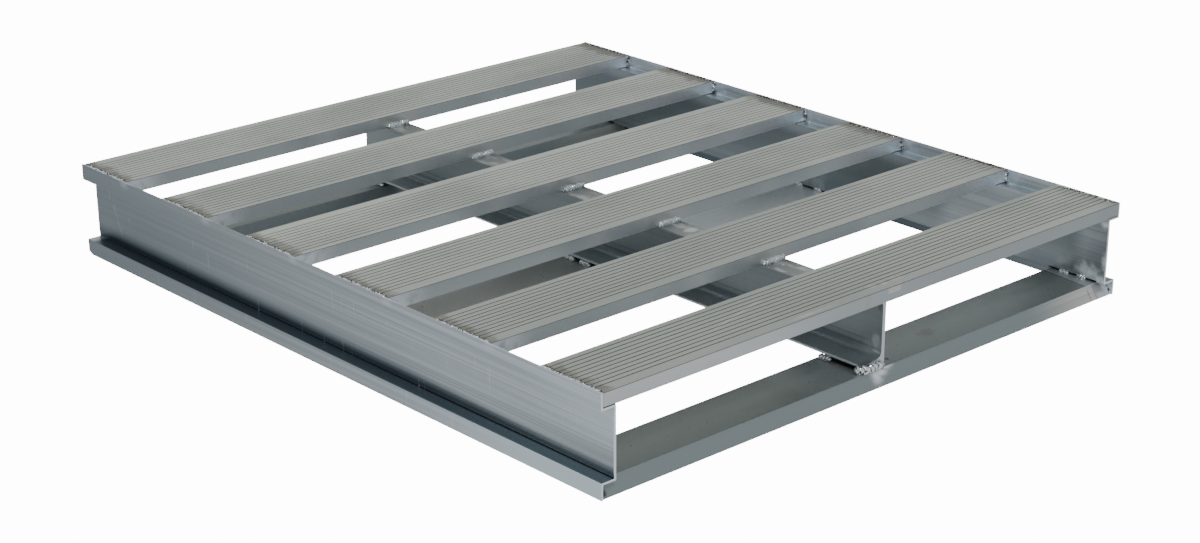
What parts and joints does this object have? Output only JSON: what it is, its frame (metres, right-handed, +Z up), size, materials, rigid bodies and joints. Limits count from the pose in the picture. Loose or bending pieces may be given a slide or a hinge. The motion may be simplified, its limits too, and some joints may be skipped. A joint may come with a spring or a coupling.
{
  "type": "aluminium pallet",
  "caption": "Flat two-way-entry welded aluminium pallet: grooved deck boards on lipped side stringers and a middle channel, with sloped-sided bottom boards.",
  "frame": {"origin": "on the floor, under the middle of the pallet's overall box", "axes": "+X along the deck boards, +Y along the stringers towards the rear, +Z up"},
  "size_m": [1.0668, 1.2192, 0.1516],
  "materials": {
    "stringer": "mill finish, satin",
    "channel": "mill finish, darker",
    "deck": "mill finish, satin",
    "bottom": "mill finish, satin",
    "weld": "as welded, rippled"
  },
  "bodies": {
    "root": {"left_stringer": "stringer", "right_stringer": "stringer", "middle_stringer": "channel", "deck_board_1": "deck", "deck_board_2": "deck", "deck_board_3": "deck", "deck_board_4": "deck", "deck_board_5": "deck", "deck_board_6": "deck", "bottom_board_front": "bottom", "bottom_board_middle": "bottom", "bottom_board_rear": "bottom", "end_weld_left_1": "weld", "end_weld_left_2": "weld", "end_weld_left_3": "weld", "end_weld_left_4": "weld", "end_weld_left_5": "weld", "end_weld_left_6": "weld", "corner_welds_left": "weld", "web_tacks_left": "weld", "foot_welds_left": "weld", "end_weld_right_1": "weld", "end_weld_right_2": "weld", "end_weld_right_3": "weld", "end_weld_right_4": "weld", "end_weld_right_5": "weld", "end_weld_right_6": "weld", "corner_welds_right": "weld", "web_tacks_right": "weld", "foot_welds_right": "weld", "flange_welds": "weld", "nose_weld": "weld", "toe_welds": "weld"}
  },
  "joints": []
}
